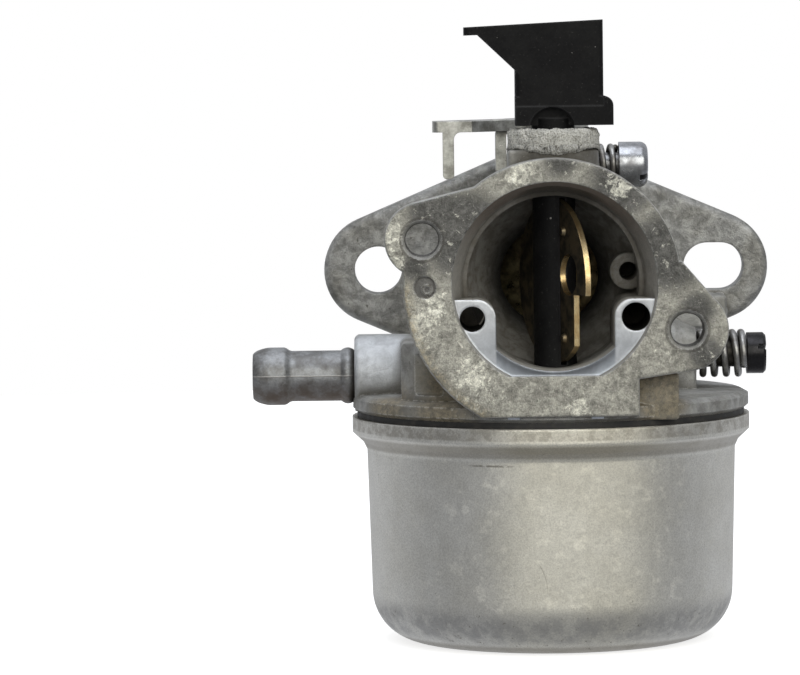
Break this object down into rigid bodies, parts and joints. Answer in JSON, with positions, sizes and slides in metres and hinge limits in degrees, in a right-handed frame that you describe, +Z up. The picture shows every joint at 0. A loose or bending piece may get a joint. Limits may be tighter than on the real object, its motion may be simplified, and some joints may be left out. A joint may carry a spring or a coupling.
{
  "type": "float-bowl carburetor",
  "caption": "Side-draught float-bowl carburetor for a small engine, with a throttle, a choke, adjusting screws and a hose barb.",
  "frame": {"origin": "centre of the throttle bore on the rear mounting face", "axes": "+Y out of the rear mounting face towards the engine, +Z up, bowl below, +X to the right seen from the air horn"},
  "size_m": [0.0727, 0.0555, 0.0856],
  "materials": {
    "die_cast_alloy": "as cast, oxidised, with machined faces",
    "drawn_bowl": "satin plated sheet",
    "black_rubber": "moulded",
    "plated_steel": "zinc plated",
    "fibre": "fibre washer",
    "brass": "turned",
    "inlet_alloy": "as cast, dull",
    "float_plastic": "moulded foam resin",
    "gold_zinc": "yellow zinc plated",
    "black_plastic": "glass filled, moulded",
    "white_foam": "open cell foam",
    "grey_felt": "felt",
    "nickel": "nickel plated",
    "black_oxide": "black oxide",
    "spring_steel": "drawn wire"
  },
  "bodies": {
    "carburetor": {"carburetor_body": "die_cast_alloy", "float_bowl": "drawn_bowl", "bowl_gasket": "black_rubber", "bowl_bolt": "plated_steel", "bowl_bolt_washer": "fibre", "main_nozzle": "brass", "main_jet": "brass", "pilot_jet": "brass", "fuel_inlet_barb": "inlet_alloy", "inlet_seat": "brass", "float_hinge_pin": "spring_steel", "choke_foam_seal": "white_foam", "throttle_shaft_seal": "grey_felt", "welch_plug": "plated_steel", "passage_ball_plug": "plated_steel", "manifold_o_ring": "black_rubber"},
    "choke": {"choke_plate": "gold_zinc", "choke_lever_shaft": "black_plastic"},
    "throttle": {"throttle_plate": "brass", "throttle_plate_screws": "plated_steel", "throttle_shaft": "plated_steel", "throttle_lever": "plated_steel"},
    "float": {"bowl_float": "float_plastic"},
    "needle": {"inlet_needle": "brass", "needle_clip": "spring_steel"},
    "idle_screw_spring": {"idle_speed_spring": "spring_steel"},
    "idle_screw": {"idle_speed_screw": "nickel"},
    "mixture_screw_spring": {"idle_mixture_spring": "spring_steel"},
    "mixture_screw": {"idle_mixture_screw": "black_oxide"}
  },
  "joints": [
    {"name": "choke_turn", "type": "hinge", "parent": "carburetor", "child": "choke", "pos_m": [0.0003, -0.0385, 0], "axis": [0, 0, 1], "range_deg": [-20, 66]},
    {"name": "throttle_turn", "type": "hinge", "parent": "carburetor", "child": "throttle", "pos_m": [0, -0.0115, 0], "axis": [0, 0, -1], "range_deg": [0, 75]},
    {"name": "float_swing", "type": "hinge", "parent": "carburetor", "child": "float", "pos_m": [-0.021, -0.022, -0.0255], "axis": [0, -1, 0], "range_deg": [0, 10]},
    {"name": "needle_lift", "type": "slide", "parent": "carburetor", "child": "needle", "axis": [0, 0, 1], "range_m": [0, 0.00096]},
    {"name": "idle_screw_travel", "type": "slide", "parent": "carburetor", "child": "idle_screw_spring", "axis": [-1, 0, 0], "range_m": [0, 0.0007], "deforming": ["idle_speed_spring"]},
    {"name": "idle_screw_turn", "type": "hinge", "parent": "idle_screw_spring", "child": "idle_screw", "pos_m": [0.0119, -0.019, 0.015], "axis": [-1, 0, 0], "range_deg": [0, 360]},
    {"name": "mixture_screw_travel", "type": "slide", "parent": "carburetor", "child": "mixture_screw_spring", "axis": [-1, 0, 0], "range_m": [0, 0.0014], "deforming": ["idle_mixture_spring"]},
    {"name": "mixture_screw_turn", "type": "hinge", "parent": "mixture_screw_spring", "child": "mixture_screw", "pos_m": [0.0286, -0.021, -0.0113], "axis": [-1, 0, 0], "range_deg": [0, 720]}
  ],
  "couplings": [
    {"joint": "needle_lift", "follows": "float_swing", "m_per_rad": 0.005472},
    {"joint": "idle_screw_turn", "follows": "idle_screw_travel", "rad_per_m": 8973.5},
    {"joint": "mixture_screw_turn", "follows": "mixture_screw_travel", "rad_per_m": 8974.7}
  ]
}
